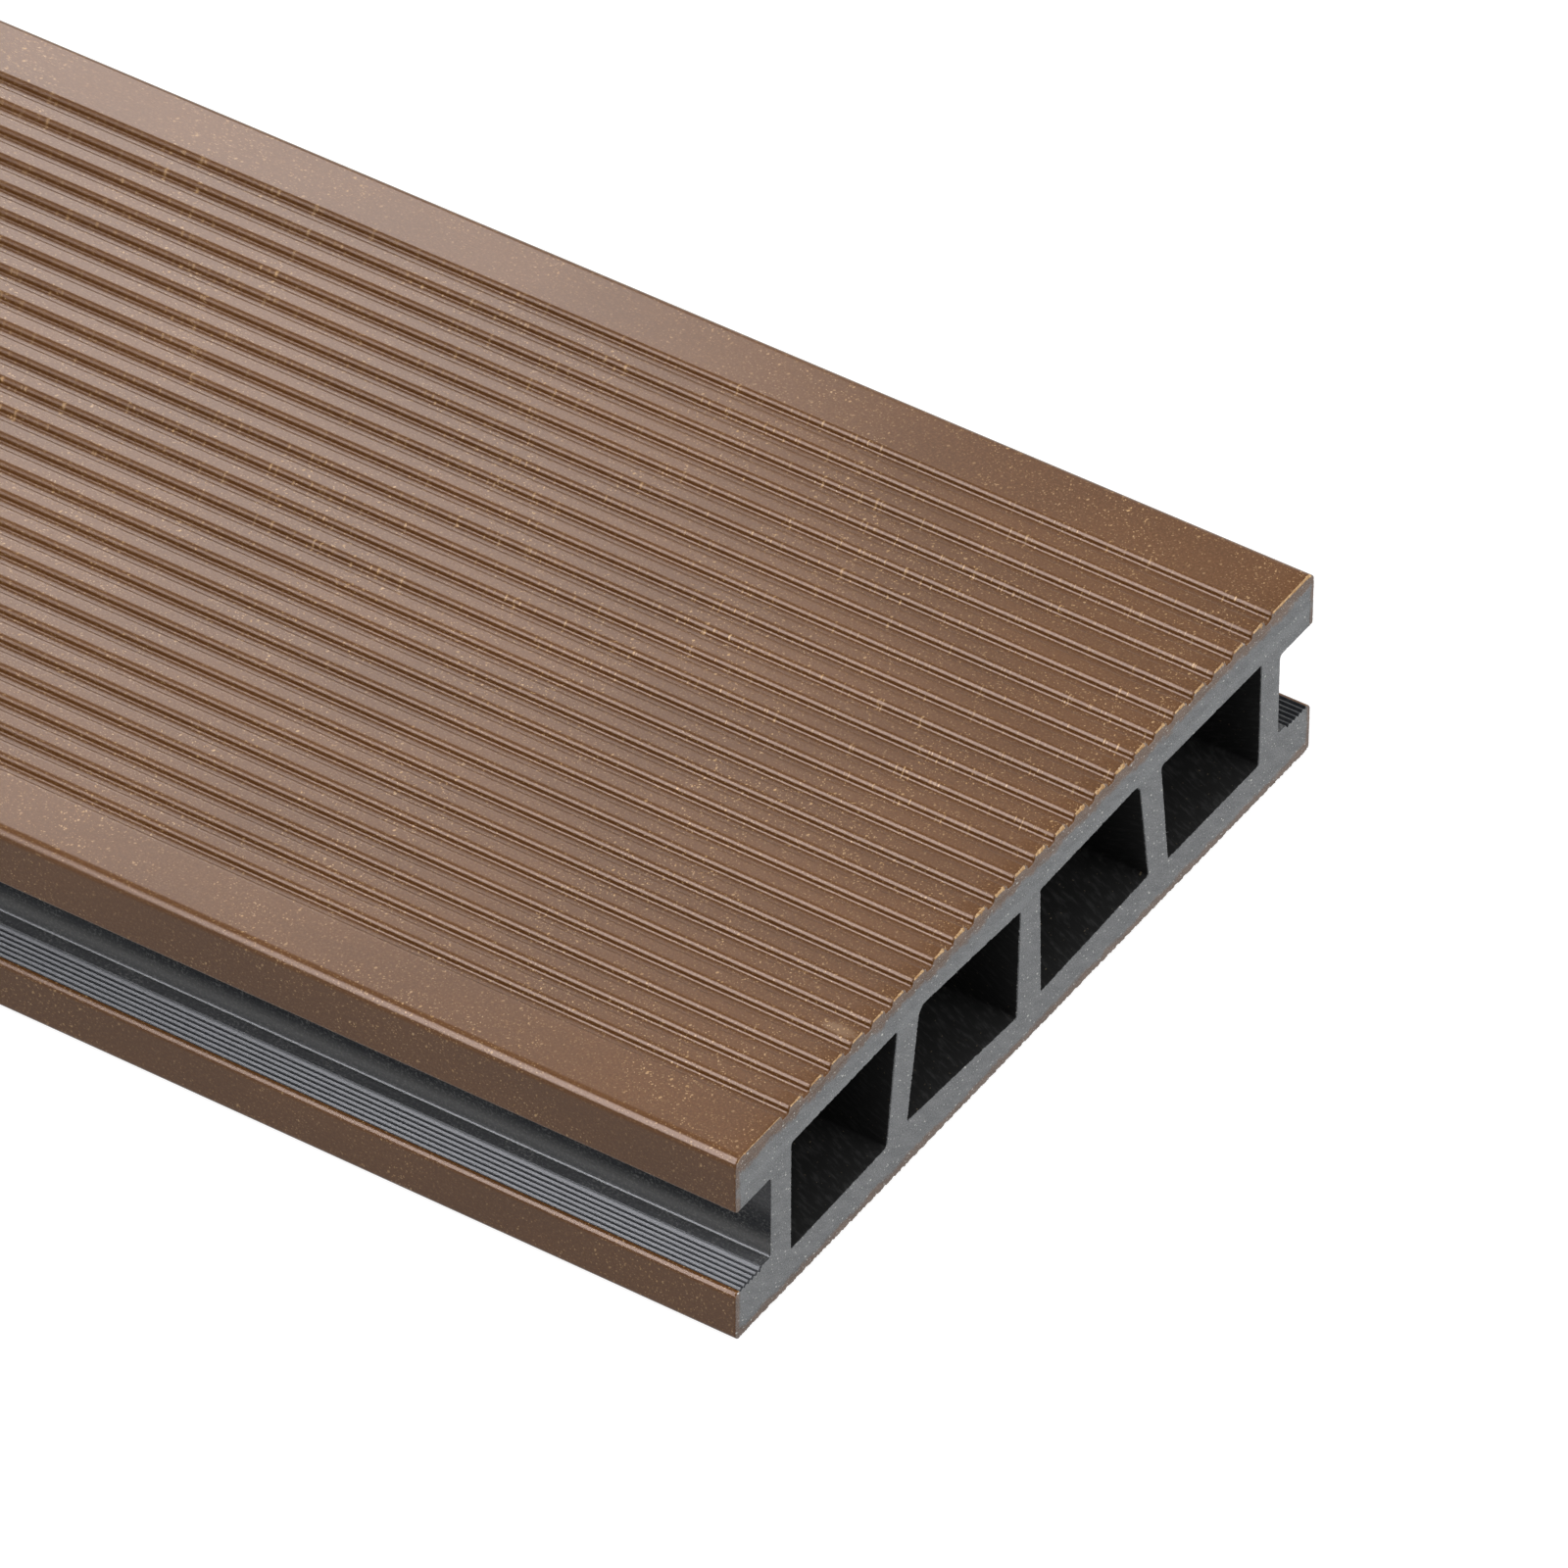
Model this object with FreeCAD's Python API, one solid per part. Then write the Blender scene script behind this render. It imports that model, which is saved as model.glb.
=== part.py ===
import FreeCAD, Part
import math
import os

# A hollow composite decking board: a dark core with four chambers, capped in brown above and below.
# Millimetres. X runs along the board, Y across it and Z up, from the middle of the underside.
length = 2400.0
width = 140.0
thickness = 31.5

# Rounded edges of the outer section
top_edge_radius = 1.5
underside_edge_radius = 0.8
lower_lip_edge_radius = 0.9
upper_lip_edge_radius = 0.3

# Clip groove along each long edge, between an upper and a lower lip
clip_groove_depth = 8.2
lower_lip_thickness = 8.5
upper_lip_thickness = 9.1
clip_groove_root_radius = 0.6

# Fine grip cuts along each lower lip, in a band that lies lower than the flat beside the groove's root
ribbed_lip_thickness = 8.15
lip_cut_count = 6
lip_cut_pitch = 0.88
lip_cut_width = 0.6
lip_cut_depth = 0.35
lip_cut_start = 1.25
lip_step_run = 0.2

# Drainage grooves along the walking face. The border is the least from a long edge to a groove's middle.
top_groove_border = 11.5
top_groove_pitch = 4.87
top_groove_width = 2.0
top_groove_floor_width = 1.5
top_groove_depth = 1.05
top_groove_edge_radius = 0.4
top_groove_root_radius = 0.25

# Fine ribbing of the underside, as cuts between flat ribs, with a border of the same kind
underside_cut_border = 3.8
underside_cut_pitch = 2.1
underside_cut_width = 0.9
underside_cut_depth = 0.25

# Walls round the chambers. The slanted webs stand further out at the floor than at the roof.
top_wall = 6.7
bottom_wall = 6.3
outer_web = 4.75
centre_web_at_roof = 4.8
centre_web_at_floor = 5.9
slanted_web_at_roof = 5.35
slanted_web_at_floor = 4.9
slanted_web_offset_at_roof = 29.35
slanted_web_offset_at_floor = 31.9
chamber_corner_radius = 0.5
slanted_web_head_radius = 1.6

# The extruded walls are wavy: how far each chamber's roof and floor rise at its two sides, from the near edge
chamber_roof_rise = ((0.1, 0.6), (0.85, -0.6), (-0.3, 0.3), (-0.4, -0.7))
chamber_floor_rise = ((-0.2, 0.3), (1.2, -0.55), (-0.3, 0.6), (0.0, -0.1))

# Thickness of the brown cap
cap_on_top = 2.6
cap_on_underside = 2.2
cap_on_lips = 0.9
cap_inner_radius = 1.0


def rounded_face(corners):
    """Face across the board through corners given as (y, z, radius), each rounded to its radius."""
    points = [FreeCAD.Vector(0, y, z) for y, z, radius in corners]
    edges = []
    first_start = None
    last_end = None
    for index, (y, z, radius) in enumerate(corners):
        here = points[index]
        to_last = (points[index - 1] - here).normalize()
        to_next = (points[(index + 1) % len(points)] - here).normalize()
        half_angle = to_last.getAngle(to_next) / 2
        setback = radius / math.tan(half_angle)
        start = here + to_last * setback
        end = here + to_next * setback
        if last_end is None:
            first_start = start
        else:
            edges.append(Part.LineSegment(last_end, start).toShape())
        if radius > 0:
            inward = (to_last + to_next).normalize()
            middle = here + inward * (radius / math.sin(half_angle) - radius)
            edges.append(Part.Arc(start, middle, end).toShape())
        last_end = end
    edges.append(Part.LineSegment(last_end, first_start).toShape())
    return Part.Face(Part.Wire(edges))


def edge_corners():
    """Corners of the long edge at +Y, from the underside up to the walking face."""
    edge = width / 2
    root = edge - clip_groove_depth
    groove_floor = lower_lip_thickness
    groove_roof = thickness - upper_lip_thickness
    corners = [
        (edge, 0, underside_edge_radius),
        (edge, ribbed_lip_thickness, lower_lip_edge_radius),
    ]
    for number in range(lip_cut_count):
        middle = edge - lip_cut_start - number * lip_cut_pitch
        corners.append((middle + lip_cut_width / 2, ribbed_lip_thickness, 0))
        corners.append((middle, ribbed_lip_thickness - lip_cut_depth, 0))
        corners.append((middle - lip_cut_width / 2, ribbed_lip_thickness, 0))
    corners += [
        (middle - lip_cut_width / 2 - lip_step_run, groove_floor, 0),
        (root, groove_floor, clip_groove_root_radius),
        (root, groove_roof, clip_groove_root_radius),
        (edge, groove_roof, upper_lip_edge_radius),
        (edge, thickness, top_edge_radius),
    ]
    return corners


def row_middles(border, pitch):
    """Middles of a centred row across the board, from -Y to +Y, as many as fit between two borders."""
    count = math.floor((width - 2 * border) / pitch) + 1
    return [(number - (count - 1) / 2) * pitch for number in range(count)]


def top_groove_corners():
    """Corners of the drainage grooves, from +Y to -Y."""
    corners = []
    floor = thickness - top_groove_depth
    for middle in reversed(row_middles(top_groove_border, top_groove_pitch)):
        corners += [
            (middle + top_groove_width / 2, thickness, top_groove_edge_radius),
            (middle + top_groove_floor_width / 2, floor, top_groove_root_radius),
            (middle - top_groove_floor_width / 2, floor, top_groove_root_radius),
            (middle - top_groove_width / 2, thickness, top_groove_edge_radius),
        ]
    return corners


def underside_corners():
    """Corners of the underside's fine cuts, from -Y to +Y."""
    corners = []
    for middle in row_middles(underside_cut_border, underside_cut_pitch):
        corners += [
            (middle - underside_cut_width / 2, 0, 0),
            (middle, underside_cut_depth, 0),
            (middle + underside_cut_width / 2, 0, 0),
        ]
    return corners


def outer_section():
    """The board's whole section without its chambers."""
    far_edge = edge_corners()
    near_edge = [(-y, z, radius) for y, z, radius in reversed(far_edge)]
    return rounded_face(underside_corners() + far_edge + top_groove_corners() + near_edge)


def chamber_sides(slanted_offset, slanted_web, centre_web):
    """The two sides of each chamber at one level, from the near edge."""
    outer_side = width / 2 - clip_groove_depth - outer_web
    webs = ((-slanted_offset, slanted_web), (0, centre_web), (slanted_offset, slanted_web))
    sides = [-outer_side]
    for middle, web in webs:
        sides.append(middle - web / 2)
        sides.append(middle + web / 2)
    sides.append(outer_side)
    return list(zip(sides[0::2], sides[1::2]))


def chamber_sections():
    """One face for each chamber, from the near edge."""
    roof = thickness - top_wall
    at_roof = chamber_sides(slanted_web_offset_at_roof, slanted_web_at_roof, centre_web_at_roof)
    at_floor = chamber_sides(slanted_web_offset_at_floor, slanted_web_at_floor, centre_web_at_floor)
    faces = []
    for number in range(len(at_roof)):
        roof_left, roof_right = at_roof[number]
        floor_left, floor_right = at_floor[number]
        roof_rise_left, roof_rise_right = chamber_roof_rise[number]
        floor_rise_left, floor_rise_right = chamber_floor_rise[number]
        # The two inner chambers have a large radius where a slanted web meets the roof
        head_left = slanted_web_head_radius if number == 1 else chamber_corner_radius
        head_right = slanted_web_head_radius if number == 2 else chamber_corner_radius
        faces.append(rounded_face([
            (floor_left, bottom_wall + floor_rise_left, chamber_corner_radius),
            (floor_right, bottom_wall + floor_rise_right, chamber_corner_radius),
            (roof_right, roof + roof_rise_right, head_right),
            (roof_left, roof + roof_rise_left, head_left),
        ]))
    return faces


def core_envelope():
    """The rounded rectangle that the cap wraps: the core lies inside it and the cap outside."""
    edge = width / 2 - cap_on_lips
    top = thickness - cap_on_top
    return rounded_face([
        (-edge, cap_on_underside, cap_inner_radius),
        (edge, cap_on_underside, cap_inner_radius),
        (edge, top, cap_inner_radius),
        (-edge, top, cap_inner_radius),
    ])


def extrude(face):
    """Solid of one face run the whole length of the board, between its two sawn ends."""
    start = face.copy()
    start.translate(FreeCAD.Vector(-length / 2, 0, 0))
    return start.extrude(FreeCAD.Vector(length, 0, 0))


def build_nodes():
    """The core and the two strips of cap, by name."""
    outer = outer_section()
    envelope = core_envelope()
    core = outer.common(envelope)
    for chamber in chamber_sections():
        core = core.cut(chamber)
    cap_strips = sorted(outer.cut(envelope).Faces, key=lambda face: face.CenterOfMass.z)
    cap_underside, cap_top = cap_strips
    return {
        "core": extrude(core.Faces[0]),
        "cap_top": extrude(cap_top),
        "cap_underside": extrude(cap_underside),
    }


os.makedirs("parts", exist_ok=True)
for name, solid in build_nodes().items():
    solid.exportStep(f"parts/{name}.step")
    print(name, solid.isValid(), len(solid.Solids), round(solid.Volume / 1000, 1), "cm3")
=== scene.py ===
import bpy
import math
import random
from mathutils import Matrix, Vector, geometry, noise


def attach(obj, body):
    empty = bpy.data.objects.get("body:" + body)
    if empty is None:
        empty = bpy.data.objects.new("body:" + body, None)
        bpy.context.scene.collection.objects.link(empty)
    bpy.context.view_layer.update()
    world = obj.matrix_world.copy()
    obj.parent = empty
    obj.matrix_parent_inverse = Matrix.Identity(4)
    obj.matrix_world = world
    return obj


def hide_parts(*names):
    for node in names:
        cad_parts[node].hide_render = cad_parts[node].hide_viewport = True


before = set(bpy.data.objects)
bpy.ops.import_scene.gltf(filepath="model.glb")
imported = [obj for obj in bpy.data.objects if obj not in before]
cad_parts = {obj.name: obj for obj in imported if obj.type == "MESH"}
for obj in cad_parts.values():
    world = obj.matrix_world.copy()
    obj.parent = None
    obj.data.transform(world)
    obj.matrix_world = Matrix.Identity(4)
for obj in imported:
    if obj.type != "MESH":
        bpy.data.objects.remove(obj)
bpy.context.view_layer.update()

# Section of the board in millimetres, with the names and values of the part's source
length = 2400.0
width = 140.0
thickness = 31.5
top_edge_radius = 1.5
underside_edge_radius = 0.8
lower_lip_edge_radius = 0.9
upper_lip_edge_radius = 0.3
clip_groove_depth = 8.2
lower_lip_thickness = 8.5
upper_lip_thickness = 9.1
clip_groove_root_radius = 0.6
ribbed_lip_thickness = 8.15
lip_cut_count = 6
lip_cut_pitch = 0.88
lip_cut_width = 0.6
lip_cut_depth = 0.35
lip_cut_start = 1.25
lip_step_run = 0.2
top_groove_border = 11.5
top_groove_pitch = 4.87
top_groove_width = 2.0
top_groove_floor_width = 1.5
top_groove_depth = 1.05
underside_cut_border = 3.8
underside_cut_pitch = 2.1
underside_cut_width = 0.9
underside_cut_depth = 0.25
top_wall = 6.7
bottom_wall = 6.3
outer_web = 4.75
centre_web_at_roof = 4.8
centre_web_at_floor = 5.9
slanted_web_at_roof = 5.35
slanted_web_at_floor = 4.9
slanted_web_offset_at_roof = 29.35
slanted_web_offset_at_floor = 31.9
chamber_corner_radius = 0.5
slanted_web_head_radius = 1.6
chamber_roof_rise = ((0.1, 0.6), (0.85, -0.6), (-0.3, 0.3), (-0.4, -0.7))
chamber_floor_rise = ((-0.2, 0.3), (1.2, -0.55), (-0.3, 0.6), (0.0, -0.1))
cap_on_top = 2.6
cap_on_underside = 2.2
cap_on_lips = 0.9
cap_inner_radius = 1.0

# The drainage grooves' edges and roots, as round as their glints are wide
worn_edge_radius = 0.75
worn_root_radius = 0.45

# How finely the section is followed
skin_step = 0.18
seam_step = 6.0
arc_step = 0.12
closest_points = 0.001
sharp_angle = 38

# How far over the chambers' roofs the saw bruised the sawn face
bruise_above_roof = 0.9
# A paler band low in a clip groove: how high its middle is over the lower lip, and its reach up and down
pale_band_middle = 1.9
pale_band_reach = 2.6

# The saw's torn rim at each end
saw_set_back = 0.25
rim_start = 4.0
rim_behind = 0.3
land_depth = 0.1
rounding_torn = 0.45
# How wide the torn line is across the board, as (place, width)
tear_across = ((-59.4, 0.09), (-59.3, 0.24), (-35, 0.28), (-18, 0.46), (18, 0.58), (34, 0.4), (70, 0.36))
# The share of that width by which the rim is torn back, and down
tear_slope = 0.6
# Sizes of the saw's coarse and fine marks, round the skins and round the chambers' mouths
coarse_mark, fine_mark = 0.35, 0.13
coarse_mark_in_chamber, fine_mark_in_chamber = 0.5, 0.16

# Loose fibres along the top of each sawn end, and burrs round each chamber's mouth
fibres_per_end = 420
burrs_per_chamber = 26
fibre_seed = 11
burr_seed = 23
lowest_fibre = 0.02
highest_fibre = thickness - 0.005
# Where each part's wandering saw marks start
core_seed = 3
cap_top_seed = 5
cap_underside_seed = 7

# The scuff on the walking face: how far back from the sawn end and where across, and its half sizes
scuff_back = 3.0
scuff_across = -41.5
scuff_half_length = 3.0
scuff_half_width = 1.1

MM = 0.001

# Material slots of a board mesh: its skin, the torn rim, the sawn face and the chamber walls
SKIN, TORN, SAWN, WALL = 0, 1, 2, 3


# Section lines

def rounded_line(corners):
    """Points (y, z, on_skin) round a closed line through corners (y, z, radius, on_skin).

    A corner's on_skin tells whether the run after it is open to view or a seam between two parts.
    """
    here = [Vector((y, z)) for y, z, radius, on_skin in corners]
    points = []
    for index, (y, z, radius, on_skin) in enumerate(corners):
        corner = here[index]
        to_last = (here[index - 1] - corner).normalized()
        to_next = (here[(index + 1) % len(here)] - corner).normalized()
        half_angle = to_last.angle(to_next) / 2
        start = corner + to_last * (radius / math.tan(half_angle))
        if radius > 0:
            inward = (to_last + to_next).normalized()
            centre = corner + inward * (radius / math.sin(half_angle))
            turn = math.pi - 2 * half_angle
            parts = max(3, math.ceil(turn * radius / arc_step))
            from_centre = start - centre
            sign = 1 if from_centre.cross(-to_last) > 0 else -1
            for part in range(parts + 1):
                angle = sign * turn * part / parts
                spoke = Vector((
                    from_centre.x * math.cos(angle) - from_centre.y * math.sin(angle),
                    from_centre.x * math.sin(angle) + from_centre.y * math.cos(angle),
                ))
                last = part == parts
                points.append((centre + spoke, on_skin if last else on_skin and corners[index - 1][3]))
        else:
            points.append((corner, on_skin))
        # Even steps along the straight run to the next corner's arc
        run_start = points[-1][0]
        following = corners[(index + 1) % len(corners)]
        next_corner = here[(index + 1) % len(here)]
        beyond = (here[(index + 2) % len(here)] - next_corner).normalized()
        next_half = (-to_next).angle(beyond) / 2
        run_end = next_corner - to_next * (following[2] / math.tan(next_half))
        step = skin_step if on_skin else seam_step
        parts = max(1, round((run_end - run_start).length / step))
        for part in range(1, parts):
            points.append((run_start.lerp(run_end, part / parts), on_skin))
    # An arc may end right at the next corner: the corner's own point then stands for both
    return [
        (point.x, point.y, on_skin)
        for index, (point, on_skin) in enumerate(points)
        if (points[(index + 1) % len(points)][0] - point).length > closest_points
    ]


def lip_top_corners():
    """Top of the lower lip at +Y, from the cap's seam inwards over the fine grip cuts."""
    edge = width / 2
    corners = [(edge - cap_on_lips, ribbed_lip_thickness, 0, True)]
    for number in range(lip_cut_count):
        middle = edge - lip_cut_start - number * lip_cut_pitch
        corners += [
            (middle + lip_cut_width / 2, ribbed_lip_thickness, 0, True),
            (middle, ribbed_lip_thickness - lip_cut_depth, 0, True),
            (middle - lip_cut_width / 2, ribbed_lip_thickness, 0, True),
        ]
    corners.append((middle - lip_cut_width / 2 - lip_step_run, lower_lip_thickness, 0, True))
    return corners


def mirrored(corners, last_on_skin):
    """The same corners at -Y in the opposite order, so that the line stays anticlockwise."""
    flags = [on_skin for y, z, radius, on_skin in corners]
    turned = []
    for index in range(len(corners) - 1, -1, -1):
        y, z, radius, on_skin = corners[index]
        turned.append((-y, z, radius, flags[index - 1] if index else last_on_skin))
    return turned


def core_line():
    root = width / 2 - clip_groove_depth
    edge = width / 2 - cap_on_lips
    roof = thickness - upper_lip_thickness
    far = [(edge, cap_on_underside, cap_inner_radius, False)] + lip_top_corners() + [
        (root, lower_lip_thickness, clip_groove_root_radius, True),
        (root, roof, clip_groove_root_radius, True),
        (edge, roof, 0, False),
        (edge, thickness - cap_on_top, cap_inner_radius, False),
    ]
    return rounded_line(far + mirrored(far, False))


def row_middles(border, pitch):
    """Middles of a centred row across the board, from -Y to +Y, as many as fit between two borders."""
    count = math.floor((width - 2 * border) / pitch) + 1
    return [(number - (count - 1) / 2) * pitch for number in range(count)]


def top_groove_corners():
    corners = []
    floor = thickness - top_groove_depth
    for middle in reversed(row_middles(top_groove_border, top_groove_pitch)):
        corners += [
            (middle + top_groove_width / 2, thickness, worn_edge_radius, True),
            (middle + top_groove_floor_width / 2, floor, worn_root_radius, True),
            (middle - top_groove_floor_width / 2, floor, worn_root_radius, True),
            (middle - top_groove_width / 2, thickness, worn_edge_radius, True),
        ]
    return corners


def cap_top_line():
    edge = width / 2
    seam = edge - cap_on_lips
    roof = thickness - upper_lip_thickness
    far = [
        (seam, roof, 0, True),
        (edge, roof, upper_lip_edge_radius, True),
        (edge, thickness, top_edge_radius, True),
    ]
    near = [
        (-edge, thickness, top_edge_radius, True),
        (-edge, roof, upper_lip_edge_radius, True),
        (-seam, roof, 0, False),
        (-seam, thickness - cap_on_top, cap_inner_radius, False),
        (seam, thickness - cap_on_top, cap_inner_radius, False),
    ]
    return rounded_line(far + top_groove_corners() + near)


def cap_underside_line():
    edge = width / 2
    seam = edge - cap_on_lips
    corners = [(-edge, 0, underside_edge_radius, True)]
    for middle in row_middles(underside_cut_border, underside_cut_pitch):
        corners += [
            (middle - underside_cut_width / 2, 0, 0, True),
            (middle, underside_cut_depth, 0, True),
            (middle + underside_cut_width / 2, 0, 0, True),
        ]
    corners += [
        (edge, 0, underside_edge_radius, True),
        (edge, ribbed_lip_thickness, lower_lip_edge_radius, True),
        (seam, ribbed_lip_thickness, 0, False),
        (seam, cap_on_underside, cap_inner_radius, False),
        (-seam, cap_on_underside, cap_inner_radius, False),
        (-seam, ribbed_lip_thickness, 0, True),
        (-edge, ribbed_lip_thickness, lower_lip_edge_radius, True),
    ]
    return rounded_line(corners)


def chamber_sides(slanted_offset, slanted_web, centre_web):
    outer_side = width / 2 - clip_groove_depth - outer_web
    sides = [-outer_side]
    for middle, web in ((-slanted_offset, slanted_web), (0, centre_web), (slanted_offset, slanted_web)):
        sides += [middle - web / 2, middle + web / 2]
    sides.append(outer_side)
    return list(zip(sides[0::2], sides[1::2]))


def chamber_lines():
    roof = thickness - top_wall
    at_roof = chamber_sides(slanted_web_offset_at_roof, slanted_web_at_roof, centre_web_at_roof)
    at_floor = chamber_sides(slanted_web_offset_at_floor, slanted_web_at_floor, centre_web_at_floor)
    lines = []
    for number in range(len(at_roof)):
        head_left = slanted_web_head_radius if number == 1 else chamber_corner_radius
        head_right = slanted_web_head_radius if number == 2 else chamber_corner_radius
        floor_rise, roof_rise = chamber_floor_rise[number], chamber_roof_rise[number]
        lines.append(rounded_line([
            (at_floor[number][0], bottom_wall + floor_rise[0], chamber_corner_radius, True),
            (at_floor[number][1], bottom_wall + floor_rise[1], chamber_corner_radius, True),
            (at_roof[number][1], roof + roof_rise[1], head_right, True),
            (at_roof[number][0], roof + roof_rise[0], head_left, True),
        ]))
    return lines


# Meshes of the board, run between its two sawn ends

def wander(place, size, seed):
    """Smooth random value from about -1 to 1 that changes over `size` millimetres along a line."""
    return 1.6 * noise.noise(Vector((place / size, seed * 7.3, seed * 1.7)))


def inward_normals(line):
    """Unit vectors into the material at each point of an anticlockwise line."""
    count = len(line)
    normals = []
    for index in range(count):
        last, following = line[index - 1], line[(index + 1) % count]
        along = Vector((following[0] - last[0], following[1] - last[1])).normalized()
        normals.append(Vector((-along.y, along.x)))
    return normals


def along_profile(profile, place):
    """Value at a place on straight runs through (place, value) pairs, held beyond both ends."""
    if place <= profile[0][0]:
        return profile[0][1]
    for (start, low), (end, high) in zip(profile, profile[1:]):
        if place <= end:
            return low + (high - low) * (place - start) / (end - start)
    return profile[-1][1]


def on_land(y, z):
    """Whether a point of the rim is on the walking face's flat or at the start of a long edge's rounding."""
    if abs(y) > width / 2 - top_edge_radius:
        return z > thickness - rounding_torn
    return z > thickness - land_depth


def share_of_land(y):
    """How far a place is across its land, from 0 at the near side to 1 at the far side."""
    middles = row_middles(top_groove_border, top_groove_pitch)
    starts = [-width / 2] + [middle + top_groove_width / 2 for middle in middles]
    ends = [middle - top_groove_width / 2 for middle in middles] + [width / 2]
    for start, end in zip(starts, ends):
        if start <= y <= end:
            return (y - start) / (end - start)
    return 1.0


def torn(y, z, seed):
    """How far the saw tore one point of the rim: (back from the sawn face, down into the section)."""
    fine = abs(wander(y + z, coarse_mark, seed)) + 0.5 * abs(wander(y - z, fine_mark, seed + 1))
    if z < underside_cut_depth:
        return 0.05 + 0.2 * fine, 0.03 + 0.3 * fine
    if z > thickness - top_groove_depth - 0.1 and on_land(y, z):
        chipped = 0.55 + 0.75 * share_of_land(y) ** 3 + 0.55 * fine
        reach = along_profile(tear_across, y) * chipped
        return tear_slope * reach, tear_slope * reach
    return 0.03 + 0.07 * fine, 0.03 + 0.08 * fine


def end_rings(line, normals, side, seed, is_chamber):
    """Rings of points from the body of the board out to one sawn face; side is 1 at +X and -1 at -X."""
    face = length / 2 - saw_set_back
    rings = [[], [], [], [], []]
    for (y, z, on_skin), inward in zip(line, normals):
        if is_chamber:
            coarse = abs(wander(y + 2 * z, coarse_mark_in_chamber, seed))
            fuzz = coarse + abs(wander(y - z, fine_mark_in_chamber, seed + 3))
            back, down = 0.10 + 0.08 * fuzz, 0.05 + 0.09 * fuzz * fuzz
        elif on_skin:
            back, down = torn(y, z, seed)
        else:
            back, down = 0.1, 0.0
        middle = 0.5 + 0.3 * wander(y + z, 0.2, seed + 5)
        stations = (
            (length / 2 - rim_start, 0.0),
            (face - back - rim_behind, 0.0),
            (face - back, 0.12 * down),
            (face - back * 0.45, down * middle),
            (face, down),
        )
        for ring, (x, depth) in zip(rings, stations):
            ring.append(Vector((side * x, y + inward.x * depth, z + inward.y * depth)))
    return rings


def board_mesh(name, outer, holes, seed):
    """Closed mesh of one extruded part, with its faces told apart as SKIN, TORN, SAWN and WALL."""
    vertices, faces, kinds = [], [], []
    loops_at_ends = {1: [], -1: []}
    for number, line in enumerate([outer] + holes):
        is_chamber = number > 0
        if is_chamber:
            line = line[::-1]
        normals = inward_normals(line)
        far = end_rings(line, normals, -1, seed + 40 + number, is_chamber)
        near = end_rings(line, normals, 1, seed + number, is_chamber)
        rings = far[::-1] + near
        count = len(line)
        base = len(vertices)
        for ring in rings:
            vertices += ring
        for band in range(len(rings) - 1):
            at_rim = band in (0, 1, len(rings) - 3, len(rings) - 2)
            for index in range(count):
                following = (index + 1) % count
                a = base + band * count
                b = a + count
                faces.append((a + index, a + following, b + following, b + index))
                y, z, on_skin = line[index]
                if is_chamber:
                    kinds.append(SAWN if at_rim else WALL)
                elif on_skin and at_rim:
                    kinds.append(TORN if on_land(y, z) else SAWN)
                else:
                    kinds.append(SKIN)
        loops_at_ends[-1].append(list(range(base, base + count)))
        last = base + (len(rings) - 1) * count
        loops_at_ends[1].append(list(range(last, last + count)))
    for side, loops in loops_at_ends.items():
        flat = [[Vector((vertices[i].y, vertices[i].z, 0)) for i in loop] for loop in loops]
        order = [i for loop in loops for i in loop]
        for triangle in geometry.tessellate_polygon(flat):
            a, b, c = (vertices[order[i]] for i in triangle)
            corners = [order[i] for i in triangle]
            if (b - a).cross(c - a).x * side < 0:
                corners.reverse()
            faces.append(tuple(corners))
            kinds.append(SAWN)
    mesh = bpy.data.meshes.new(name)
    mesh.from_pydata([v * MM for v in vertices], [], faces)
    mesh.polygons.foreach_set("material_index", kinds)
    mesh.polygons.foreach_set("use_smooth", [kind in (SKIN, WALL) for kind in kinds])
    mesh.update()
    mesh.set_sharp_from_angle(angle=math.radians(sharp_angle))
    return mesh


def place(name, mesh, slot, materials, node=None):
    """Put a mesh in the scene as one piece of the board."""
    piece = bpy.data.objects.new(name, mesh)
    bpy.context.scene.collection.objects.link(piece)
    for material in materials:
        mesh.materials.append(material)
    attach(piece, "root")
    if node:
        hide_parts(node)


# Loose fibres at the sawn ends

def fibre(vertices, faces, start, heading, span, thick, bend):
    """A tapered three-sided sliver from start along heading, curling by bend."""
    across = heading.cross(Vector((0, 0, 1))).normalized()
    above = across.cross(heading).normalized()
    base = len(vertices)
    stations = 4
    for station in range(stations + 1):
        share = station / stations
        middle = start + heading * span * share + above * bend * share * share
        middle += across * bend * 0.6 * share * (1 - share)
        half = thick * (1 - 0.85 * share) / 2
        for spoke in range(3):
            angle = spoke * 2 * math.pi / 3 + share
            point = middle + across * half * math.cos(angle) + above * half * 0.6 * math.sin(angle)
            point.x = max(-length / 2, min(length / 2, point.x))
            point.z = max(lowest_fibre, min(highest_fibre, point.z))
            vertices.append(point * MM)
    for station in range(stations):
        for spoke in range(3):
            a = base + station * 3 + spoke
            b = base + station * 3 + (spoke + 1) % 3
            faces.append((a, b, b + 3, a + 3))
    faces.append((base + 2, base + 1, base))
    faces.append((base + stations * 3, base + stations * 3 + 1, base + stations * 3 + 2))


def land_places(chance, count):
    """Places across the walking face that lie on a land, most where the saw tore most."""
    places = []
    grooves = row_middles(top_groove_border, top_groove_pitch)
    widest = max(wide for place, wide in tear_across)
    while len(places) < count:
        y = chance.uniform(-width / 2 + 2, width / 2 - 2)
        wanted = (along_profile(tear_across, y) / widest) ** 2 * (0.35 + 0.65 * share_of_land(y) ** 2)
        if chance.random() < wanted and min(abs(y - middle) for middle in grooves) > top_groove_width / 2:
            places.append(y)
    return places


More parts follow.
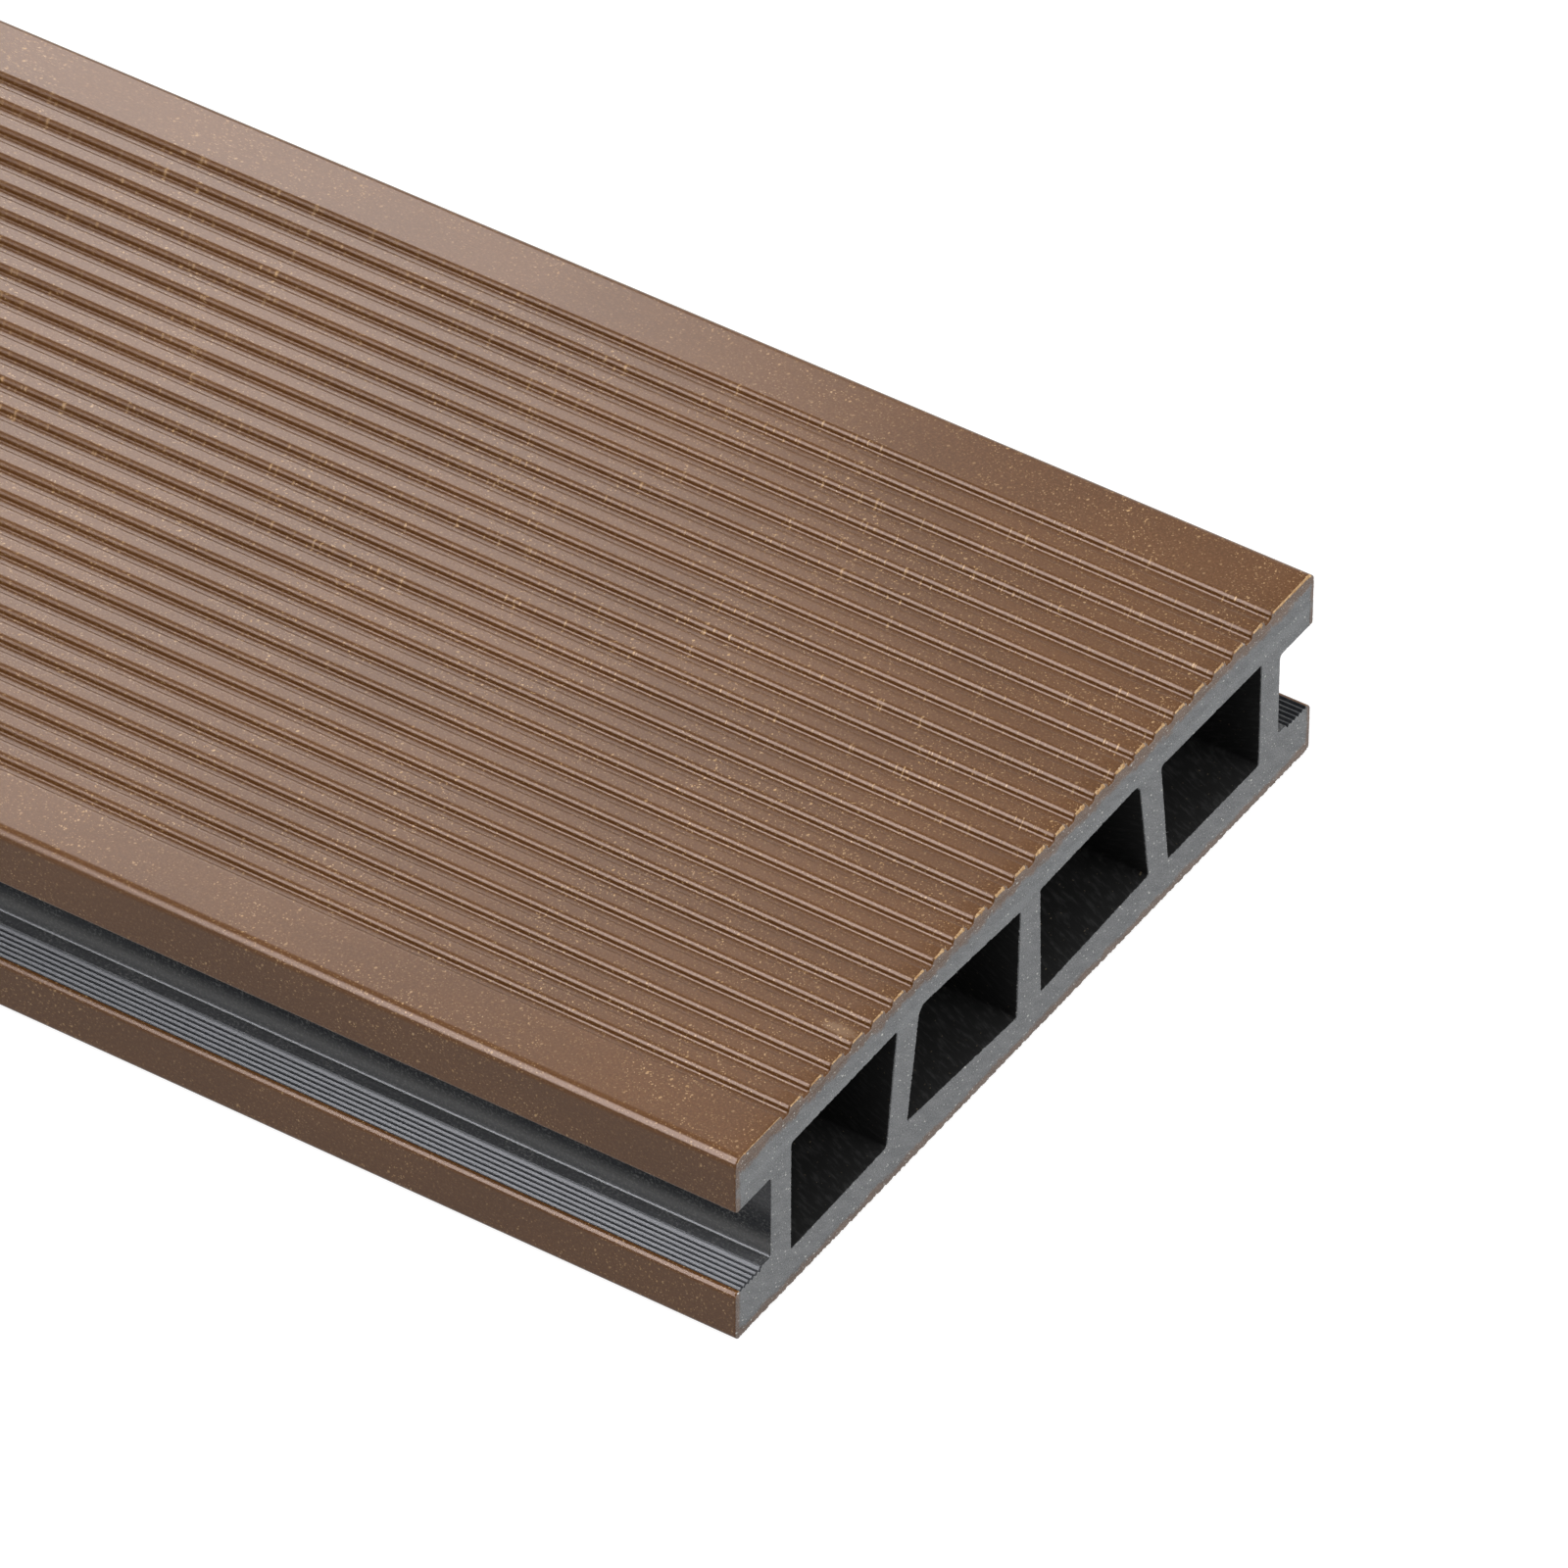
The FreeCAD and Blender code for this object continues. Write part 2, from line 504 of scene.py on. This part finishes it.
def torn_fibre_mesh():
    """Shreds of the brown cap that the saw left along the top of each sawn end."""
    chance = random.Random(fibre_seed)
    vertices, faces = [], []
    for side in (1, -1):
        for y in land_places(chance, fibres_per_end):
            tear = along_profile(tear_across, y)
            drop = chance.uniform(0.0, 0.7) * tear
            back = chance.uniform(-0.1, 0.9) * tear
            start = Vector((side * (length / 2 - saw_set_back - back), y, thickness - 0.04 - drop))
            heading = Vector((
                side * chance.uniform(-0.7, 0.6),
                chance.choice((-1, 1)) * chance.uniform(0.3, 1.0),
                chance.uniform(-0.35, 0.3),
            )).normalized()
            span = chance.uniform(0.12, 0.42) + (0.5 if chance.random() < 0.07 else 0)
            thick, bend = chance.uniform(0.04, 0.11), chance.uniform(-0.08, 0.1)
            fibre(vertices, faces, start, heading, span, thick, bend)
    mesh = bpy.data.meshes.new("torn_fibres")
    mesh.from_pydata(vertices, [], faces)
    return mesh


def chamber_burr_mesh(chambers):
    """Short burrs that stand out of the chambers' edges on each sawn face."""
    chance = random.Random(burr_seed)
    vertices, faces = [], []
    for side in (1, -1):
        for line in chambers:
            middle_y = sum(point[0] for point in line) / len(line)
            middle_z = sum(point[1] for point in line) / len(line)
            for _ in range(burrs_per_chamber):
                y, z, on_skin = chance.choice(line)
                towards = Vector((0, middle_y - y, middle_z - z)).normalized()
                start = Vector((side * (length / 2 - saw_set_back - 0.06), y, z)) - towards * 0.08
                heading = (towards * chance.uniform(0.3, 1.0) + Vector((
                    side * chance.uniform(0.0, 0.25), chance.uniform(-0.9, 0.9), chance.uniform(-0.9, 0.9),
                ))).normalized()
                span, thick = chance.uniform(0.15, 0.5), chance.uniform(0.05, 0.11)
                fibre(vertices, faces, start, heading, span, thick, 0.05)
    mesh = bpy.data.meshes.new("chamber_burrs")
    mesh.from_pydata(vertices, [], faces)
    return mesh


# Materials

class Nodes:
    """A material's node tree, with short calls for the nodes that the board's materials share."""

    def __init__(self, name):
        self.material = bpy.data.materials.new(name)
        self.material.use_nodes = True
        self.tree = self.material.node_tree
        self.tree.nodes.clear()
        self.shader = self.tree.nodes.new("ShaderNodeBsdfPrincipled")
        output = self.tree.nodes.new("ShaderNodeOutputMaterial")
        self.tree.links.new(self.shader.outputs[0], output.inputs[0])
        where = self.tree.nodes.new("ShaderNodeTexCoord").outputs["Object"]
        self.mm = self.mapped(where, scale=(1000, 1000, 1000))
        x, y, z = self.parts(self.mm)
        # The skins unrolled: along the board, and across it down over either long edge
        side = self.maths("SIGN", y)
        drop = self.maths("SUBTRACT", z, thickness)
        self.skin = self.joined(x, self.maths("SUBTRACT", y, self.maths("MULTIPLY", side, drop)))
        self.section = self.joined(y, z)

    def put(self, node, socket, value):
        if isinstance(value, bpy.types.NodeSocket):
            self.tree.links.new(value, node.inputs[socket])
        else:
            node.inputs[socket].default_value = value

    def mapped(self, vector, turn=(0, 0, 0), scale=(1, 1, 1)):
        """Coordinates turned by angles in degrees, then scaled."""
        turned = self.tree.nodes.new("ShaderNodeMapping")
        turned.vector_type = "POINT"
        self.put(turned, "Vector", vector)
        self.put(turned, "Rotation", tuple(math.radians(angle) for angle in turn))
        stretched = self.tree.nodes.new("ShaderNodeVectorMath")
        stretched.operation = "MULTIPLY"
        self.put(stretched, 0, turned.outputs[0])
        self.put(stretched, 1, scale)
        return stretched.outputs[0]

    def joined(self, a, b):
        """Flat coordinates made of two values."""
        node = self.tree.nodes.new("ShaderNodeCombineXYZ")
        self.put(node, 0, a)
        self.put(node, 1, b)
        return node.outputs[0]

    def noise(self, vector, scale, detail=3.0, roughness=0.5):
        node = self.tree.nodes.new("ShaderNodeTexNoise")
        node.noise_dimensions = "2D"
        self.put(node, "Vector", vector)
        self.put(node, "Scale", scale)
        self.put(node, "Detail", detail)
        self.put(node, "Roughness", roughness)
        return node.outputs["Fac"]

    def maths(self, operation, a, b=0.0):
        node = self.tree.nodes.new("ShaderNodeMath")
        node.operation = operation
        self.put(node, 0, a)
        self.put(node, 1, b)
        return node.outputs[0]

    def ramp(self, value, low, high, to_low=0.0, to_high=1.0, smooth=True):
        """Maps value from low..high to to_low..to_high, held at both ends."""
        node = self.tree.nodes.new("ShaderNodeMapRange")
        node.interpolation_type = "SMOOTHSTEP" if smooth else "LINEAR"
        sockets = ("Value", "From Min", "From Max", "To Min", "To Max")
        for socket, number in zip(sockets, (value, low, high, to_low, to_high)):
            self.put(node, socket, number)
        return node.outputs[0]

    def mix(self, share, a, b):
        node = self.tree.nodes.new("ShaderNodeMix")
        node.data_type = "RGBA"
        self.put(node, 0, share)
        for socket, value in ((6, a), (7, b)):
            if isinstance(value, tuple):
                value = value + (1.0,)
            self.put(node, socket, value)
        return node.outputs[2]

    def parts(self, vector):
        node = self.tree.nodes.new("ShaderNodeSeparateXYZ")
        self.put(node, 0, vector)
        return node.outputs

    def flecks(self, place, cell, turn, stretch, radius, share, faintest=0.2):
        """Mask of scattered slivers: cell is their spacing and radius half their width, in millimetres."""
        cells = self.mapped(place, turn=(0, 0, turn), scale=(1 / (cell * stretch), 1 / cell, 0))
        node = self.tree.nodes.new("ShaderNodeTexVoronoi")
        node.voronoi_dimensions = "2D"
        self.put(node, "Vector", cells)
        self.put(node, "Scale", 1.0)
        chance = self.parts(node.outputs["Color"])
        size = self.ramp(chance[1], 0.0, 1.0, 0.4 * radius / cell, radius / cell, smooth=False)
        inside = self.ramp(self.maths("DIVIDE", node.outputs["Distance"], size), 0.55, 1.0, 1.0, 0.0)
        picked = self.maths("LESS_THAN", chance[0], share)
        # Most are faint and few are bright
        squared = self.maths("MULTIPLY", chance[2], chance[2])
        strength = self.ramp(squared, 0.0, 1.0, faintest, 1.0, smooth=False)
        return self.maths("MULTIPLY", self.maths("MULTIPLY", inside, picked), strength)

    def most(self, masks):
        """The strongest of some masks at each place."""
        total = masks[0]
        for mask in masks[1:]:
            total = self.maths("MAXIMUM", total, mask)
        return total

    def bump(self, height, strength, distance_mm):
        node = self.tree.nodes.new("ShaderNodeBump")
        self.put(node, "Strength", strength)
        self.put(node, "Distance", distance_mm * MM)
        self.put(node, "Height", height)
        return node.outputs[0]

    def finish(self, colour, roughness, normal, specular, tint=(1.0, 1.0, 1.0)):
        self.put(self.shader, "Base Color", colour)
        self.put(self.shader, "Roughness", roughness)
        self.put(self.shader, "Specular IOR Level", specular)
        self.put(self.shader, "Specular Tint", tint + (1.0,))
        self.put(self.shader, "Normal", normal)
        return self.material


def brown_cap_material():
    """Extruded brown capstock: satin, with wood fibres scattered in it and fine lines along the board."""
    n = Nodes("brown_cap")
    cloudy = n.noise(n.mapped(n.skin, scale=(0.03, 0.08, 0)), 1.0, 3.0)
    grain = n.noise(n.skin, 2.6, 3.0, 0.7)
    drawn = n.noise(n.mapped(n.skin, scale=(0.02, 3.0, 0)), 1.0, 2.0, 0.6)
    colour = n.mix(n.ramp(cloudy, 0.3, 0.7), (0.094, 0.038, 0.011), (0.112, 0.046, 0.014))
    colour = n.mix(n.ramp(grain, 0.48, 0.72, 0.0, 0.6), colour, (0.165, 0.080, 0.030))
    colour = n.mix(n.ramp(grain, 0.48, 0.28, 0.0, 0.55), colour, (0.070, 0.027, 0.008))
    # Fibres lie at every angle, thick in some places and sparse in others
    patch = n.ramp(n.noise(n.skin, 0.06, 3.0, 0.6), 0.38, 0.62, 0.35, 1.0)
    fibres = n.most([
        n.flecks(n.skin, 0.42, 20, 1.3, 0.12, 0.5, 0.15),
        n.flecks(n.skin, 0.8, 70, 1.8, 0.15, 0.55, 0.2),
        n.flecks(n.skin, 0.7, -35, 2.2, 0.12, 0.45, 0.2),
        n.flecks(n.skin, 2.4, 115, 1.5, 0.22, 0.6, 0.6),
    ])
    golden = n.mix(n.noise(n.skin, 0.9, 1.0), (0.50, 0.28, 0.10), (0.62, 0.43, 0.24))
    colour = n.mix(n.maths("MULTIPLY", fibres, n.maths("MULTIPLY", patch, 0.85)), colour, golden)
    hairs = n.most([
        n.flecks(n.skin, 1.3, 50, 5.0, 0.045, 0.4, 0.3),
        n.flecks(n.skin, 1.4, 130, 6.0, 0.04, 0.4, 0.3),
    ])
    colour = n.mix(n.maths("MULTIPLY", hairs, n.maths("MULTIPLY", patch, 0.45)), colour, (0.50, 0.34, 0.20))
    # A pale scuff with hairline scratches across it, on one land beside the sawn end
    x, y = n.parts(n.mm)[:2]
    from_x = n.maths("DIVIDE", n.maths("SUBTRACT", x, length / 2 - scuff_back), scuff_half_length)
    from_y = n.maths("DIVIDE", n.maths("SUBTRACT", y, scuff_across), scuff_half_width)
    apart = n.maths("ADD", n.maths("MULTIPLY", from_x, from_x), n.maths("MULTIPLY", from_y, from_y))
    scuffed = n.ramp(n.maths("ADD", apart, n.ramp(grain, 0.3, 0.7, -0.4, 0.4)), 0.2, 1.1, 0.22, 0.0)
    scratches = n.flecks(n.skin, 1.1, 85, 5.0, 0.06, 0.6, 0.5)
    scuffed = n.maths("ADD", scuffed, n.maths("MULTIPLY", scratches, n.ramp(apart, 1.0, 3.0, 0.5, 0.0)))
    colour = n.mix(scuffed, colour, (0.46, 0.33, 0.22))
    height = n.maths("ADD", n.maths("MULTIPLY", grain, 0.7), n.maths("MULTIPLY", drawn, 0.35))
    normal = n.bump(height, 0.06, 0.05)
    return n.finish(colour, 0.18, normal, specular=0.28, tint=(1.0, 0.82, 0.75))


def sawn_material():
    """The sawn section: grey core with pale specks, inside the brown cap that the saw dulled and blurred."""
    n = Nodes("sawn_section")
    y, z = n.parts(n.section)[:2]
    broad = n.ramp(n.noise(n.section, 0.3, 2.0), 0.3, 0.7, -0.5, 0.5, smooth=False)
    ragged = n.ramp(n.noise(n.section, 1.5, 3.0, 0.65), 0.3, 0.7, -0.35, 0.35, smooth=False)
    shift = n.maths("ADD", broad, ragged)
    from_top = n.maths("ADD", n.maths("SUBTRACT", thickness, z), shift)
    from_below = n.maths("ADD", z, n.maths("MULTIPLY", shift, 0.6))
    edge = n.maths("SUBTRACT", width / 2, n.maths("ABSOLUTE", y))
    from_side = n.maths("ADD", edge, n.maths("MULTIPLY", shift, 0.3))
    cap = n.most([
        n.ramp(from_top, 1.9, 2.9, 1.0, 0.0),
        n.ramp(from_below, 1.0, 2.0, 0.9, 0.0),
        n.ramp(from_side, 0.5, 1.1, 0.9, 0.0),
    ])
    mottle = n.noise(n.mapped(n.section, turn=(0, 0, 35), scale=(0.2, 0.7, 0)), 1.0, 4.0, 0.6)
    fine = n.noise(n.section, 4.5, 3.0, 0.75)
    core = n.mix(n.ramp(mottle, 0.3, 0.7), (0.188, 0.194, 0.201), (0.240, 0.246, 0.252))
    capped = n.mix(n.ramp(mottle, 0.3, 0.7), (0.180, 0.121, 0.088), (0.235, 0.162, 0.122))
    colour = n.mix(cap, core, capped)
    # The saw left a paler bruise along the chambers' roofs
    roof_line = n.maths("ABSOLUTE", n.maths("SUBTRACT", z, thickness - top_wall + bruise_above_roof))
    bruise = n.ramp(n.maths("ADD", roof_line, broad), 0.2, 1.2, 0.5, 0.0)
    colour = n.mix(bruise, colour, (0.285, 0.298, 0.305))
    colour = n.mix(n.ramp(fine, 0.5, 0.66, 0.0, 0.6), colour, (0.34, 0.343, 0.345))
    colour = n.mix(n.ramp(fine, 0.5, 0.34, 0.0, 0.6), colour, (0.105, 0.107, 0.110))
    specks = n.most([
        n.flecks(n.section, 0.8, 0, 1.0, 0.13, 0.5, 0.2),
        n.flecks(n.section, 1.2, 48, 2.2, 0.12, 0.5, 0.35),
        n.flecks(n.section, 2.0, 25, 1.4, 0.19, 0.55, 0.6),
    ])
    colour = n.mix(n.maths("MULTIPLY", specks, 0.95), colour, (0.78, 0.78, 0.74))
    height = n.maths("ADD", fine, n.maths("MULTIPLY", mottle, 1.2))
    normal = n.bump(height, 0.4, 0.07)
    return n.finish(colour, 0.72, normal, specular=0.25)


def extruded_core_material():
    """Charcoal skin of the core in the clip grooves, speckled grey, with drawn lines along the board."""
    n = Nodes("extruded_core")
    drawn = n.noise(n.mapped(n.skin, scale=(0.03, 2.0, 0)), 1.0, 2.0, 0.6)
    grain = n.noise(n.skin, 2.2, 4.0, 0.75)
    # Paler over the low part of the clip groove's wall, just above its root, fading upwards
    y, z = n.parts(n.mm)[1:3]
    from_pale_band = n.maths("ABSOLUTE", n.maths("SUBTRACT", z, lower_lip_thickness + pale_band_middle))
    pale_band = n.ramp(from_pale_band, 0.0, pale_band_reach, 1.0, 0.0)
    # The grip cuts take less of the paler band and of the grey patches than the walls round them
    cuts_end = width / 2 - lip_cut_start - (lip_cut_count - 0.5) * lip_cut_pitch
    off_cuts = n.ramp(n.maths("ABSOLUTE", y), cuts_end - 0.2, cuts_end + 0.2, 1.0, 0.2)
    patch = n.maths("MAXIMUM", n.ramp(n.noise(n.skin, 0.25, 2.0), 0.35, 0.65, 0.3, 0.8), pale_band)
    patch = n.maths("MULTIPLY", patch, off_cuts)
    pale_band = n.maths("MULTIPLY", pale_band, off_cuts)
    colour = n.mix(n.ramp(drawn, 0.3, 0.7), (0.026, 0.028, 0.031), (0.042, 0.044, 0.048))
    colour = n.mix(n.maths("MULTIPLY", pale_band, 0.7), colour, (0.165, 0.163, 0.160))
    colour = n.mix(n.maths("MULTIPLY", n.ramp(grain, 0.48, 0.68), patch), colour, (0.175, 0.175, 0.170))
    specks = n.most([
        n.flecks(n.skin, 0.5, 25, 1.5, 0.11, 0.5),
        n.flecks(n.skin, 0.9, 120, 2.0, 0.12, 0.5),
    ])
    colour = n.mix(n.maths("MULTIPLY", specks, n.maths("MULTIPLY", patch, 0.7)), colour, (0.26, 0.25, 0.22))
    height = n.maths("ADD", grain, n.maths("MULTIPLY", drawn, 0.4))
    normal = n.bump(height, 0.05, 0.05)
    return n.finish(colour, 0.2, normal, specular=0.28, tint=(0.92, 0.93, 1.0))


def shaded_chamber_material():
    """Inside of the chambers: the core's skin painted near black, darker than in the clip grooves, as
    painted shade for the little light that gets in, with drag marks along the board and a few stray fibres.
    """
    n = Nodes("shaded_chamber_wall")
    drawn = n.noise(n.mapped(n.skin, turn=(0, 0, 25), scale=(0.35, 1.4, 0)), 1.0, 3.0, 0.65)
    # Painted shade: the base is darker than the same core skin in the clip grooves, and only the drag marks
    # lift it
    colour = n.mix(n.ramp(drawn, 0.45, 0.8), (0.010, 0.010, 0.010), (0.034, 0.034, 0.034))
    strays = n.most([n.flecks(n.skin, 1.3, 10, 2.2, 0.11, 0.5), n.flecks(n.skin, 1.6, 80, 2.0, 0.12, 0.4)])
    colour = n.mix(n.maths("MULTIPLY", strays, 0.7), colour, (0.22, 0.18, 0.12))
    return n.finish(colour, 0.6, n.bump(drawn, 0.3, 0.06), specular=0.2)


def torn_material():
    """Torn capstock along the saw's exit: bare fibre, straw coloured to nearly white."""
    n = Nodes("torn_fibre")
    streak = n.noise(n.skin, 2.2, 3.0, 0.6)
    colour = n.mix(n.ramp(streak, 0.3, 0.7), (0.36, 0.20, 0.085), (0.64, 0.44, 0.24))
    pale = n.flecks(n.skin, 0.5, 0, 1.5, 0.16, 0.35)
    colour = n.mix(n.maths("MULTIPLY", pale, 0.7), colour, (0.80, 0.70, 0.56))
    return n.finish(colour, 0.8, n.bump(streak, 0.4, 0.08), specular=0.2)


brown_cap = brown_cap_material()
sawn = sawn_material()
extruded_core = extruded_core_material()
shaded_chamber_wall = shaded_chamber_material()
torn_fibre = torn_material()

# The board's pieces

chambers = chamber_lines()
core_mesh = board_mesh("core_body", core_line(), chambers, core_seed)
cap_top_mesh = board_mesh("cap_top_body", cap_top_line(), [], cap_top_seed)
cap_underside_mesh = board_mesh("cap_underside_body", cap_underside_line(), [], cap_underside_seed)

place("core_body", core_mesh, "composite_core", (extruded_core, sawn, sawn, shaded_chamber_wall), "core")
place("cap_top_body", cap_top_mesh, "brown_cap", (brown_cap, torn_fibre, sawn), "cap_top")
place("cap_underside_body", cap_underside_mesh, "brown_cap", (brown_cap, sawn, sawn), "cap_underside")
place("torn_fibres", torn_fibre_mesh(), "brown_cap", (torn_fibre,))
place("chamber_burrs", chamber_burr_mesh(chambers), "composite_core", (sawn,))


# Floor and backdrop

floor_reach = 9
floor_below_board = 0.0002
floor_glow = 0.85
floor_grey_in_view = 0.28
floor_grey_to_light = 0.08
studio_fill = 0.08


def behind_or_lit(tree):
    """1 for rays that show the backdrop, straight, reflected or through glass, and 0 for all others."""
    path = tree.nodes.new("ShaderNodeLightPath")
    total = path.outputs["Is Camera Ray"]
    for name in ("Is Glossy Ray", "Is Transmission Ray"):
        both = tree.nodes.new("ShaderNodeMath")
        both.operation = "MAXIMUM"
        tree.links.new(total, both.inputs[0])
        tree.links.new(path.outputs[name], both.inputs[1])
        total = both.outputs[0]
    return total


floor_mesh = bpy.data.meshes.new("floor")
floor_corners = [
    (x * floor_reach, y * floor_reach, -floor_below_board)
    for x, y in ((-1, -1), (1, -1), (1, 1), (-1, 1))
]
floor_mesh.from_pydata(floor_corners, [], [(0, 1, 2, 3)])
floor = bpy.data.objects.new("floor", floor_mesh)
bpy.context.scene.collection.objects.link(floor)
floor_material = bpy.data.materials.new("floor")
floor_material.use_nodes = True
tree = floor_material.node_tree
tree.nodes.clear()
output = tree.nodes.new("ShaderNodeOutputMaterial")
seen = tree.nodes.new("ShaderNodeAddShader")
glow = tree.nodes.new("ShaderNodeEmission")
glow.inputs["Color"].default_value = (1, 1, 1, 1)
glow.inputs["Strength"].default_value = floor_glow
pale = tree.nodes.new("ShaderNodeBsdfDiffuse")
pale.inputs["Color"].default_value = (floor_grey_in_view,) * 3 + (1,)
tree.links.new(glow.outputs[0], seen.inputs[0])
tree.links.new(pale.outputs[0], seen.inputs[1])
lit = tree.nodes.new("ShaderNodeBsdfDiffuse")
lit.inputs["Color"].default_value = (floor_grey_to_light,) * 3 + (1,)
either = tree.nodes.new("ShaderNodeMixShader")
tree.links.new(behind_or_lit(tree), either.inputs[0])
tree.links.new(lit.outputs[0], either.inputs[1])
tree.links.new(seen.outputs[0], either.inputs[2])
tree.links.new(either.outputs[0], output.inputs[0])
floor_mesh.materials.append(floor_material)

world = bpy.data.worlds.new("studio")
bpy.context.scene.world = world
world.use_nodes = True
tree = world.node_tree
tree.nodes.clear()
output = tree.nodes.new("ShaderNodeOutputWorld")
backdrop = tree.nodes.new("ShaderNodeBackground")
backdrop.inputs["Color"].default_value = (1, 1, 1, 1)
backdrop.inputs["Strength"].default_value = 1.0
fill = tree.nodes.new("ShaderNodeBackground")
fill.inputs["Color"].default_value = (1, 1, 1, 1)
fill.inputs["Strength"].default_value = studio_fill
either = tree.nodes.new("ShaderNodeMixShader")
tree.links.new(behind_or_lit(tree), either.inputs[0])
tree.links.new(fill.outputs[0], either.inputs[1])
tree.links.new(backdrop.outputs[0], either.inputs[2])
tree.links.new(either.outputs[0], output.inputs[0])


# Lights

def softbox(name, direction, long_way, distance, wide, tall, radiance):
    """A rectangular lamp that faces the sawn end, as bright as radiance times a white surface."""
    lamp = bpy.data.lights.new(name, "AREA")
    lamp.shape = "RECTANGLE"
    lamp.size = wide
    lamp.size_y = tall
    lamp.energy = radiance * math.pi * wide * tall
    holder = bpy.data.objects.new(name, lamp)
    bpy.context.scene.collection.objects.link(holder)
    towards = Vector(direction).normalized()
    across = Vector(long_way).cross(towards).normalized()
    turn = Matrix((across, towards.cross(across), towards)).transposed().to_4x4()
    sawn_end = Vector((length / 2, 0, thickness)) * MM
    holder.matrix_world = Matrix.Translation(sawn_end + towards * distance) @ turn


# The key glints on every edge that is rounded towards the near side
softbox("key", (-0.41, -0.66, 0.63), (0, 0.69, 0.72), distance=5.0, wide=0.55, tall=5.4, radiance=20.5)
softbox("overhead", (0.15, 0.0, 0.99), (1, 0, 0), distance=3.0, wide=2.4, tall=3.4, radiance=1.7)
# The sheen lies on the walking face and fades towards the sawn end
softbox("sheen", (-0.649, 0.574, 0.5), (0, 0, 1), distance=1.8, wide=0.70, tall=0.74, radiance=7.0)
softbox("end_fill", (0.92, 0.12, 0.36), (0, 0, 1), distance=3.5, wide=2.2, tall=2.0, radiance=5.8)
# Lights the board's other end, and hardly shows from the photo's side
softbox("far_end_fill", (-0.97, 0.12, 0.22), (0, 0, 1), distance=6.0, wide=2.2, tall=2.0, radiance=5.8)


# Camera, fitted to the corners of the sawn end and the lines of the walking face

azimuth = math.radians(33.22)
elevation = math.radians(41.23)
roll = math.radians(0.22)
focal_pixels = 16229
photo_pixels = 1600
distance = 2.1
looked_at = Vector((length / 2 - 38.99, 0, 25.98)) * MM

back = Vector((
    math.sin(azimuth) * math.cos(elevation),
    -math.cos(azimuth) * math.cos(elevation),
    math.sin(elevation),
))
right = Vector((math.cos(azimuth), math.sin(azimuth), 0))
up = back.cross(right)
rolled_right = right * math.cos(roll) + up * math.sin(roll)
rolled_up = up * math.cos(roll) - right * math.sin(roll)
camera_data = bpy.data.cameras.new("camera")
camera_data.sensor_width = 36
camera_data.lens = focal_pixels * camera_data.sensor_width / photo_pixels
camera_data.clip_start = 0.05
camera_data.clip_end = 60
camera = bpy.data.objects.new("camera", camera_data)
bpy.context.scene.collection.objects.link(camera)
turn = Matrix((rolled_right, rolled_up, back)).transposed().to_4x4()
camera.matrix_world = Matrix.Translation(looked_at + back * distance) @ turn
bpy.context.scene.camera = camera
bpy.context.scene.view_settings.view_transform = "Standard"
